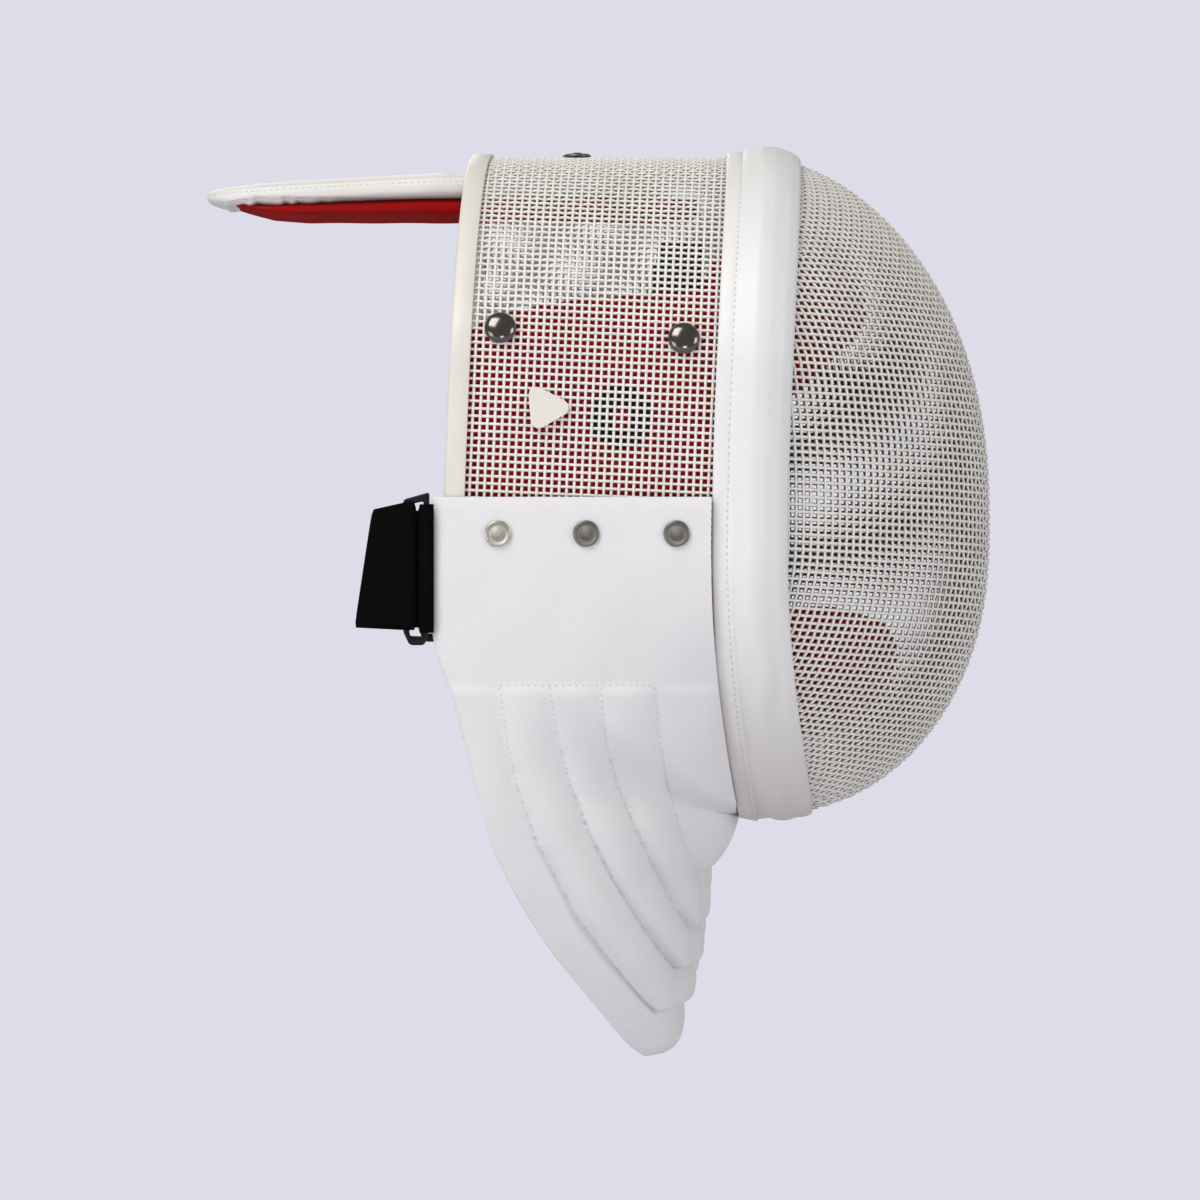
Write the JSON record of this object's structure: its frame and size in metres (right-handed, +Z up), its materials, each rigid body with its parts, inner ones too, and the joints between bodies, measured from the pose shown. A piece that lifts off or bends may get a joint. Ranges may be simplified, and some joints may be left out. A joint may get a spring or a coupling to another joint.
{
  "type": "fencing mask",
  "caption": "Fencing mask with woven wire face and crown, padded lining, quilted throat bib, rear tongue and wide head strap.",
  "frame": {"origin": "where the crown of the head meets the underside of the tongue pad, on the middle plane", "axes": "+X the way the face looks, +Y the wearer's left, +Z up"},
  "size_m": [0.3328, 0.211, 0.3854],
  "materials": {
    "wire": "ivory polymer coating on woven steel wire",
    "ivory_binding": "smooth ivory binding",
    "band": "white leatherette, fine grain",
    "cloth": "white twill",
    "lining": "red napped lining",
    "chrome": "polished",
    "nickel": "satin nickel",
    "steel": "plain spring steel",
    "rubber": "matt black",
    "plastic": "black moulded",
    "webbing": "black woven elastic"
  },
  "bodies": {
    "root": {"face_mesh": "wire", "side_mesh": "wire", "rear_trim": "ivory_binding", "rim_band": "band", "bib": "cloth", "snap_right_front": "chrome", "snap_right_rear": "chrome", "snap_left_front": "chrome", "snap_left_rear": "chrome", "snap_socket_right_front": "nickel", "snap_socket_right_rear": "nickel", "snap_socket_left_front": "nickel", "snap_socket_left_rear": "nickel", "bib_disc_right_1": "nickel", "bib_disc_right_2": "nickel", "bib_disc_right_3": "nickel", "bib_disc_left_1": "nickel", "bib_disc_left_2": "nickel", "bib_disc_left_3": "nickel", "plate_right": "ivory_binding", "plate_left": "ivory_binding", "crown_rivet": "nickel", "tongue_cover": "cloth", "tongue_pad": "lining", "tongue_spring": "steel", "pad_right": "lining", "pad_left": "lining", "pad_forehead": "lining", "pad_chin": "lining", "ear_ring_right": "rubber", "ear_ring_left": "rubber", "lining_tab_right": "rubber", "lining_tab_left": "rubber", "strap_loop_right": "plastic", "strap_loop_left": "plastic", "anchor_tab_right": "webbing", "anchor_tab_left": "webbing", "head_strap": "webbing"}
  },
  "joints": []
}
